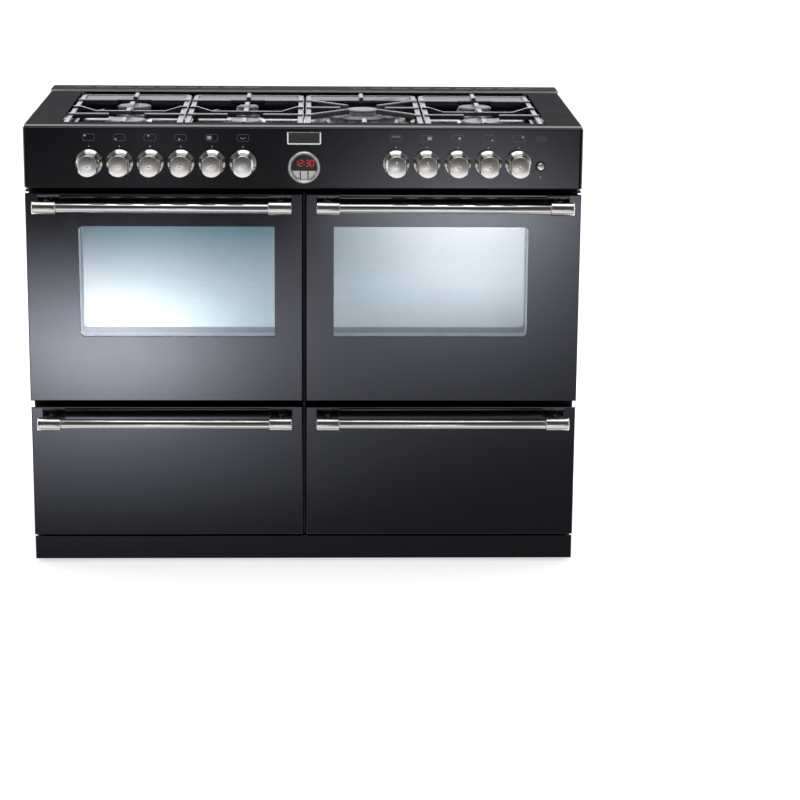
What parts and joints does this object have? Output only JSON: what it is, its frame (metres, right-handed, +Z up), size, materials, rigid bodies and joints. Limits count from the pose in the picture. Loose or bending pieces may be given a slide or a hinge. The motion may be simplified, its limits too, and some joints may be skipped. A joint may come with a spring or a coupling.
{
  "type": "range cooker",
  "caption": "Wide free-standing dual-fuel range cooker: gas hob with lift-off pan supports, control fascia with knobs and clock, drop-down oven doors over pull-out drawers.",
  "frame": {"origin": "centre of the bounding box's underside, on the floor", "axes": "+X to the right seen from the front, +Y to the back, +Z up; the doors face -Y"},
  "size_m": [1.1, 0.651, 0.902],
  "materials": {
    "black_sheet": "satin black stove enamel on folded sheet",
    "zinc_sheet": "zinc-coated sheet",
    "foot_plastic": "moulded nylon on a threaded stem",
    "black_enamel": "high-gloss black enamel",
    "chrome_trim": "polished",
    "display_plastic": "dark display lens",
    "button_plastic": "silver painted keys",
    "brass_gas": "turned brass taps and tube",
    "switch_plastic": "moulded switch bodies",
    "hob_enamel": "black vitreous enamel on pressed steel",
    "cast_alloy": "die cast",
    "cap_enamel": "pressed caps, glossy black enamel",
    "spark_ceramic": "white ceramic",
    "oven_enamel": "grey-black vitreous enamel",
    "rack_chrome": "plated wire",
    "element_steel": "heat-darkened sheathed element",
    "seal_rubber": "silicone door seal",
    "knob_nickel": "satin nickel plated",
    "cast_grate": "glossy black enamelled cast iron",
    "window_glass": "coated oven glass",
    "handle_steel": "brushed bar with turned end caps"
  },
  "bodies": {
    "carcass": {"side_and_centre_panels": "black_sheet", "back_panel": "zinc_sheet", "base_tray": "zinc_sheet", "front_frame": "black_sheet", "plinth": "black_sheet", "levelling_feet": "foot_plastic", "fascia_panel": "black_enamel", "control_trims": "chrome_trim", "clock_display": "display_plastic", "gas_rail": "brass_gas", "electrical_units": "switch_plastic", "hotplate": "hob_enamel", "rear_vent_trim": "hob_enamel", "burner_bodies": "cast_alloy", "burner_crowns": "cast_alloy", "burner_caps": "cap_enamel", "spark_electrodes": "spark_ceramic", "oven_liners": "oven_enamel", "oven_racks": "rack_chrome", "fan_cover": "oven_enamel", "grill_elements": "element_steel", "drawer_runners": "zinc_sheet", "door_hinges": "zinc_sheet", "door_seals": "seal_rubber"},
    "knob_rear_left": {"knob_rear_left": "knob_nickel"},
    "knob_front_left": {"knob_front_left": "knob_nickel"},
    "knob_mid_rear": {"knob_mid_rear": "knob_nickel"},
    "knob_mid_front": {"knob_mid_front": "knob_nickel"},
    "knob_wok": {"knob_wok": "knob_nickel"},
    "knob_front_right": {"knob_front_right": "knob_nickel"},
    "knob_rear_right": {"knob_rear_right": "knob_nickel"},
    "knob_left_oven": {"knob_left_oven": "knob_nickel"},
    "knob_function": {"knob_function": "knob_nickel"},
    "knob_grill": {"knob_grill": "knob_nickel"},
    "knob_right_oven": {"knob_right_oven": "knob_nickel"},
    "clock_button_left": {"clock_button_left": "button_plastic"},
    "clock_button_middle": {"clock_button_middle": "button_plastic"},
    "clock_button_right": {"clock_button_right": "button_plastic"},
    "ignition_button": {"ignition_button": "chrome_trim"},
    "pan_support_1": {"pan_support_1": "cast_grate"},
    "pan_support_2": {"pan_support_2": "cast_grate"},
    "pan_support_3": {"pan_support_3": "cast_grate"},
    "pan_support_4": {"pan_support_4": "cast_grate"},
    "fan_impeller": {"fan_impeller": "cast_alloy"},
    "left_door": {"left_door_front": "black_enamel", "left_door_glass": "window_glass", "left_door_frame": "black_sheet", "left_door_handle": "handle_steel"},
    "left_drawer": {"left_drawer_front": "black_enamel", "left_drawer_box": "zinc_sheet", "left_drawer_handle": "handle_steel"},
    "right_door": {"right_door_front": "black_enamel", "right_door_glass": "window_glass", "right_door_frame": "black_sheet", "right_door_handle": "handle_steel"},
    "right_drawer": {"right_drawer_front": "black_enamel", "right_drawer_box": "zinc_sheet", "right_drawer_handle": "handle_steel"}
  },
  "joints": [
    {"name": "knob_rear_left_turn", "type": "hinge", "parent": "carcass", "child": "knob_rear_left", "pos_m": [-0.421, -0.2695, 0.8225], "axis": [0, -1, 0], "range_deg": [0, 210]},
    {"name": "knob_front_left_turn", "type": "hinge", "parent": "carcass", "child": "knob_front_left", "pos_m": [-0.3612, -0.2695, 0.8225], "axis": [0, -1, 0], "range_deg": [0, 210]},
    {"name": "knob_mid_rear_turn", "type": "hinge", "parent": "carcass", "child": "knob_mid_rear", "pos_m": [-0.3016, -0.2695, 0.8225], "axis": [0, -1, 0], "range_deg": [0, 210]},
    {"name": "knob_mid_front_turn", "type": "hinge", "parent": "carcass", "child": "knob_mid_front", "pos_m": [-0.2415, -0.2695, 0.8225], "axis": [0, -1, 0], "range_deg": [0, 210]},
    {"name": "knob_wok_turn", "type": "hinge", "parent": "carcass", "child": "knob_wok", "pos_m": [0.3024, -0.2695, 0.8225], "axis": [0, -1, 0], "range_deg": [0, 210]},
    {"name": "knob_front_right_turn", "type": "hinge", "parent": "carcass", "child": "knob_front_right", "pos_m": [0.3625, -0.2695, 0.8225], "axis": [0, -1, 0], "range_deg": [0, 210]},
    {"name": "knob_rear_right_turn", "type": "hinge", "parent": "carcass", "child": "knob_rear_right", "pos_m": [0.4222, -0.2695, 0.8225], "axis": [0, -1, 0], "range_deg": [0, 210]},
    {"name": "knob_left_oven_turn", "type": "hinge", "parent": "carcass", "child": "knob_left_oven", "pos_m": [-0.1806, -0.2695, 0.8225], "axis": [0, -1, 0], "range_deg": [-250, 0]},
    {"name": "knob_function_turn", "type": "hinge", "parent": "carcass", "child": "knob_function", "pos_m": [-0.1198, -0.2695, 0.8225], "axis": [0, -1, 0], "range_deg": [-250, 0]},
    {"name": "knob_grill_turn", "type": "hinge", "parent": "carcass", "child": "knob_grill", "pos_m": [0.181, -0.2695, 0.8225], "axis": [0, -1, 0], "range_deg": [-250, 0]},
    {"name": "knob_right_oven_turn", "type": "hinge", "parent": "carcass", "child": "knob_right_oven", "pos_m": [0.2416, -0.2695, 0.8225], "axis": [0, -1, 0], "range_deg": [-250, 0]},
    {"name": "clock_button_left_press", "type": "slide", "parent": "carcass", "child": "clock_button_left", "axis": [0, 1, 0], "range_m": [0, 0.002], "stiffness_N_per_m": 300, "springref_m": -0.001},
    {"name": "clock_button_middle_press", "type": "slide", "parent": "carcass", "child": "clock_button_middle", "axis": [0, 1, 0], "range_m": [0, 0.002], "stiffness_N_per_m": 300, "springref_m": -0.001},
    {"name": "clock_button_right_press", "type": "slide", "parent": "carcass", "child": "clock_button_right", "axis": [0, 1, 0], "range_m": [0, 0.002], "stiffness_N_per_m": 300, "springref_m": -0.001},
    {"name": "ignition_button_press", "type": "slide", "parent": "carcass", "child": "ignition_button", "axis": [0, 1, 0], "range_m": [0, 0.003], "stiffness_N_per_m": 500, "springref_m": -0.002},
    {"name": "pan_support_1_lift", "type": "slide", "parent": "carcass", "child": "pan_support_1", "axis": [0, 0, 1], "range_m": [0, 0.08]},
    {"name": "pan_support_2_lift", "type": "slide", "parent": "carcass", "child": "pan_support_2", "axis": [0, 0, 1], "range_m": [0, 0.08]},
    {"name": "pan_support_3_lift", "type": "slide", "parent": "carcass", "child": "pan_support_3", "axis": [0, 0, 1], "range_m": [0, 0.08]},
    {"name": "pan_support_4_lift", "type": "slide", "parent": "carcass", "child": "pan_support_4", "axis": [0, 0, 1], "range_m": [0, 0.08]},
    {"name": "fan_spin", "type": "hinge", "parent": "carcass", "child": "fan_impeller", "pos_m": [-0.252, 0.2005, 0.5], "axis": [0, 1, 0], "continuous": true},
    {"name": "left_door_hinge", "type": "hinge", "parent": "carcass", "child": "left_door", "pos_m": [-0.276, -0.2455, 0.354], "axis": [1, 0, 0], "range_deg": [0, 90], "stiffness_Nm_per_rad": 12, "springref_deg": -20.05},
    {"name": "left_drawer_slide", "type": "slide", "parent": "carcass", "child": "left_drawer", "axis": [0, -1, 0], "range_m": [0, 0.44]},
    {"name": "right_door_hinge", "type": "hinge", "parent": "carcass", "child": "right_door", "pos_m": [0.276, -0.2455, 0.354], "axis": [1, 0, 0], "range_deg": [0, 90], "stiffness_Nm_per_rad": 12, "springref_deg": -20.05},
    {"name": "right_drawer_slide", "type": "slide", "parent": "carcass", "child": "right_drawer", "axis": [0, -1, 0], "range_m": [0, 0.44]}
  ]
}
